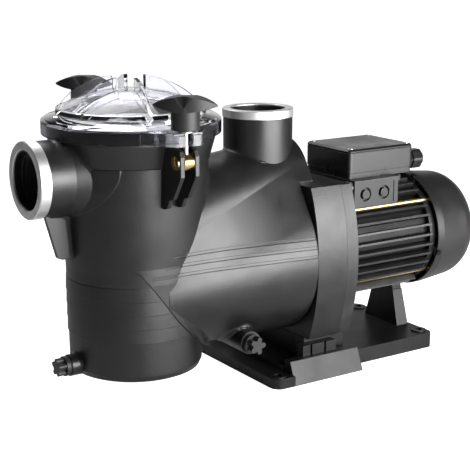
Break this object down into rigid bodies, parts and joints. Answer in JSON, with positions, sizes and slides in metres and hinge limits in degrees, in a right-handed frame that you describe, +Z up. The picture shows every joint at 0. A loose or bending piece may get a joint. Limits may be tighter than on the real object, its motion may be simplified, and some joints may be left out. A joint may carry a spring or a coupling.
{
  "type": "pool pump",
  "caption": "Self-priming pool pump: strainer pot with clear clamped lid, threaded suction and discharge ports, close-coupled finned motor, bolt-down base.",
  "frame": {"origin": "on the floor plane, under the shaft, at the middle of the base's footprint", "axes": "+X along the shaft from the suction port to the motor, +Z up, y = 0 is the middle plane"},
  "size_m": [0.587, 0.2698, 0.3525],
  "materials": {
    "body_plastic": "black glass-filled polypropylene, fine moulded grain, satin",
    "base_plastic": "black moulded plastic, fine grain",
    "box_plastic": "smooth black plastic, slight sheen",
    "cover_plastic": "smooth dark grey plastic, slight sheen",
    "inner_plastic": "dark moulded plastic",
    "basket_plastic": "pale grey moulded plastic",
    "knob_plastic": "dark grey matt moulded plastic",
    "clear_lid": "clear polycarbonate, polished",
    "ring_metal": "satin turned stainless",
    "stainless": "turned stainless steel",
    "bearing_steel": "ground bearing steel",
    "brass": "turned brass",
    "blackened_steel": "blackened steel screws",
    "yellow_zinc": "yellow zinc-plated steel",
    "motor_paint": "die-cast aluminium, black satin paint",
    "electrical_steel": "stacked laminations",
    "copper": "varnished copper winding",
    "capacitor_can": "drawn aluminium can",
    "rubber": "black nitrile rubber",
    "ceramic": "white alumina seal face",
    "carbon": "carbon seal face in a rubber bellows"
  },
  "bodies": {
    "pump": {"base": "base_plastic", "capacitor": "capacitor_can", "diffuser": "inner_plastic", "diffuser_oring": "rubber", "discharge_ring": "ring_metal", "fan_cover": "cover_plastic", "fan_cover_screws": "blackened_steel", "flange_bolts": "stainless", "front_bearing_balls": "bearing_steel", "front_bearing_outer": "bearing_steel", "gland_body": "box_plastic", "gland_nut": "box_plastic", "housing_oring": "rubber", "knockout_plugs": "box_plastic", "lid": "clear_lid", "lid_oring": "rubber", "lid_screws": "stainless", "motor_bracket": "motor_paint", "motor_foot_pad": "rubber", "motor_housing": "motor_paint", "pivot_pin_front": "brass", "pivot_pin_rear": "brass", "pump_body": "body_plastic", "rear_bearing_balls": "bearing_steel", "rear_bearing_outer": "bearing_steel", "rear_shield": "motor_paint", "seal_plate": "body_plastic", "seal_seat": "ceramic", "stator_core": "electrical_steel", "strainer_basket": "basket_plastic", "suction_ring": "ring_metal", "terminal_board": "inner_plastic", "terminal_box": "box_plastic", "terminal_gasket": "rubber", "terminal_lid": "box_plastic", "tie_rods": "yellow_zinc", "windings": "copper"},
    "rotor": {"shaft": "stainless", "rotor_core": "electrical_steel", "impeller": "inner_plastic", "impeller_nut": "brass", "seal_rotary": "carbon", "water_slinger": "rubber", "fan": "inner_plastic", "front_bearing_inner": "bearing_steel", "rear_bearing_inner": "bearing_steel"},
    "swing_bolt_front": {"swing_bolt_front": "stainless"},
    "knob_washer_front": {"knob_washer_front": "stainless"},
    "knob_front": {"knob_front": "knob_plastic", "knob_insert_front": "brass"},
    "swing_bolt_rear": {"swing_bolt_rear": "stainless"},
    "knob_washer_rear": {"knob_washer_rear": "stainless"},
    "knob_rear": {"knob_rear": "knob_plastic", "knob_insert_rear": "brass"},
    "pot_drain_seal": {"pot_drain_seal": "rubber"},
    "pot_drain_plug": {"pot_drain_plug": "knob_plastic"},
    "volute_drain_seal": {"volute_drain_seal": "rubber"},
    "volute_drain_plug": {"volute_drain_plug": "knob_plastic"},
    "basket_handle": {"basket_handle": "basket_plastic"}
  },
  "joints": [
    {"name": "rotor_spin", "type": "hinge", "parent": "pump", "child": "rotor", "pos_m": [0, 0, 0.137], "axis": [1, 0, 0], "continuous": true},
    {"name": "swing_front", "type": "hinge", "parent": "pump", "child": "swing_bolt_front", "pos_m": [-0.255, -0.113, 0.276], "axis": [1, 0, 0], "range_deg": [0, 105]},
    {"name": "washer_lift_front", "type": "slide", "parent": "swing_bolt_front", "child": "knob_washer_front", "axis": [0, 0, 1], "range_m": [0, 0.0081]},
    {"name": "knob_turn_front", "type": "hinge", "parent": "knob_washer_front", "child": "knob_front", "pos_m": [-0.255, -0.113, 0.32], "axis": [0, 0, 1], "range_deg": [0, 2880]},
    {"name": "swing_rear", "type": "hinge", "parent": "pump", "child": "swing_bolt_rear", "pos_m": [-0.255, 0.113, 0.276], "axis": [-1, 0, 0], "range_deg": [0, 105]},
    {"name": "washer_lift_rear", "type": "slide", "parent": "swing_bolt_rear", "child": "knob_washer_rear", "axis": [0, 0, 1], "range_m": [0, 0.0081]},
    {"name": "knob_turn_rear", "type": "hinge", "parent": "knob_washer_rear", "child": "knob_rear", "pos_m": [-0.255, 0.113, 0.32], "axis": [0, 0, 1], "range_deg": [0, 2880]},
    {"name": "pot_seal_slide", "type": "slide", "parent": "pump", "child": "pot_drain_seal", "axis": [-1, 0, 0], "range_m": [0, 0.0121]},
    {"name": "pot_plug_turn", "type": "hinge", "parent": "pot_drain_seal", "child": "pot_drain_plug", "pos_m": [-0.345, 0, 0.043], "axis": [-1, 0, 0], "range_deg": [0, 3240]},
    {"name": "volute_seal_slide", "type": "slide", "parent": "pump", "child": "volute_drain_seal", "axis": [0, -1, 0], "range_m": [0, 0.0121]},
    {"name": "volute_plug_turn", "type": "hinge", "parent": "volute_drain_seal", "child": "volute_drain_plug", "pos_m": [-0.152, -0.085, 0.056], "axis": [0, -1, 0], "range_deg": [0, 3240]},
    {"name": "handle_fold", "type": "hinge", "parent": "pump", "child": "basket_handle", "pos_m": [-0.255, 0, 0.283], "axis": [0, 1, 0], "range_deg": [-85, 85]}
  ],
  "couplings": [
    {"joint": "washer_lift_front", "follows": "knob_turn_front", "m_per_rad": 0.00015915},
    {"joint": "washer_lift_rear", "follows": "knob_turn_rear", "m_per_rad": 0.00015915},
    {"joint": "pot_seal_slide", "follows": "pot_plug_turn", "m_per_rad": 0.00021279},
    {"joint": "volute_seal_slide", "follows": "volute_plug_turn", "m_per_rad": 0.00021279}
  ]
}
